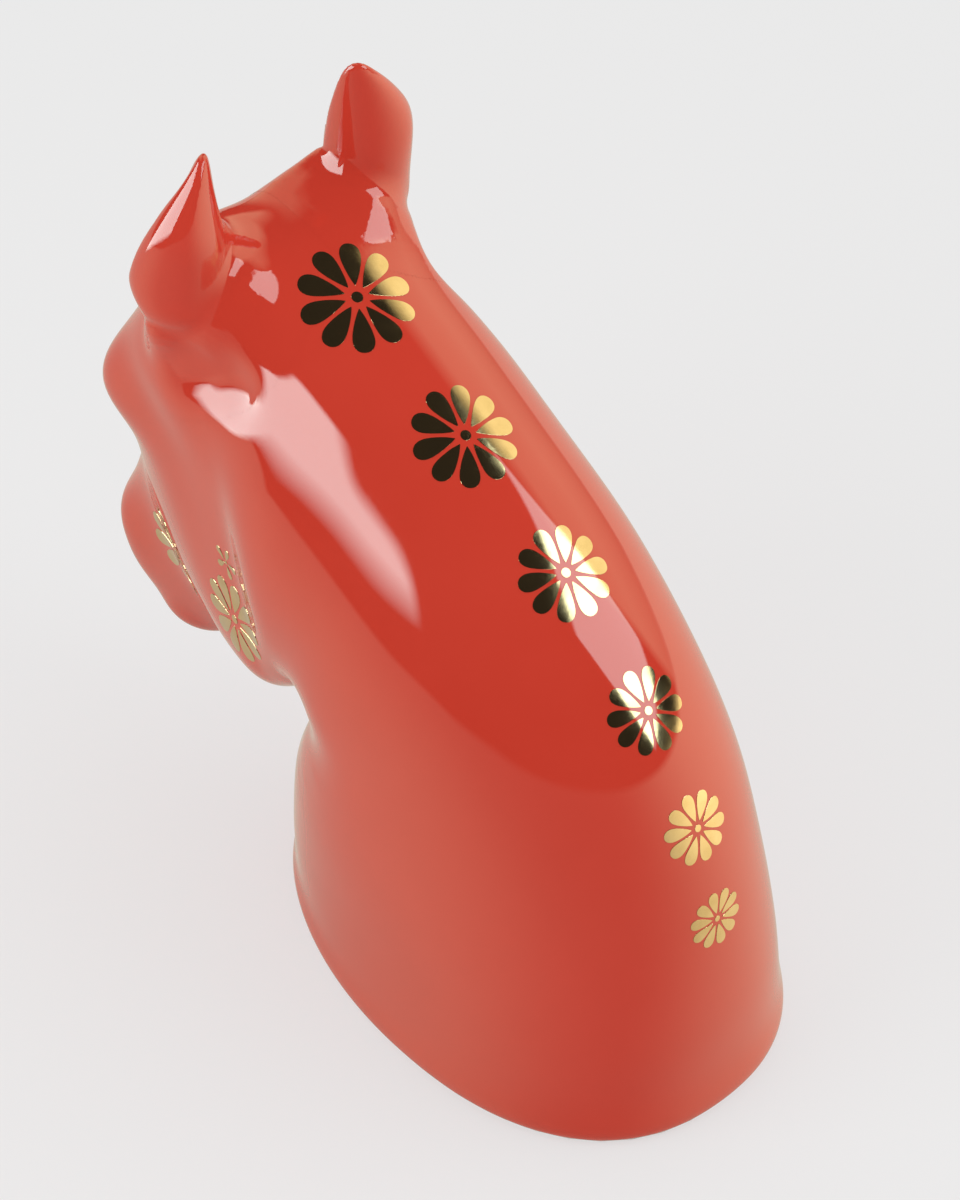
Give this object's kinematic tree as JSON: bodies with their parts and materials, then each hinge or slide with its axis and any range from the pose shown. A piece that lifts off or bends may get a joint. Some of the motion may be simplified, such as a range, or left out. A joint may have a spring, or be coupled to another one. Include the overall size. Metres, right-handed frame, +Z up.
{
  "type": "horse head figurine",
  "caption": "Hollow glazed porcelain bust of a horse, head and arched neck with upright ears, on a flat closed foot, with gold rosettes laid on the glaze.",
  "frame": {"origin": "a point near the middle of the foot's flat underside, on the table and in the figure's plane of symmetry", "axes": "+X the way the horse faces, +Y to the horse's left, +Z up"},
  "size_m": [0.1796, 0.083, 0.1846],
  "materials": {
    "glaze": "glossy coral-red glaze",
    "biscuit": "unglazed, fine matte",
    "gold": "bright gold lustre"
  },
  "bodies": {
    "root": {"horse_body": "glaze", "base_plate": "biscuit", "left_ear": "glaze", "right_ear": "glaze", "crest_rosette_1": "gold", "crest_rosette_2": "gold", "crest_rosette_3": "gold", "crest_rosette_4": "gold", "crest_rosette_5": "gold", "crest_rosette_6": "gold", "left_cheek_rosette": "gold", "right_cheek_rosette": "gold", "left_cheek_blossom": "gold", "right_cheek_blossom": "gold", "left_muzzle_rosette": "gold", "right_muzzle_rosette": "gold"}
  },
  "joints": []
}
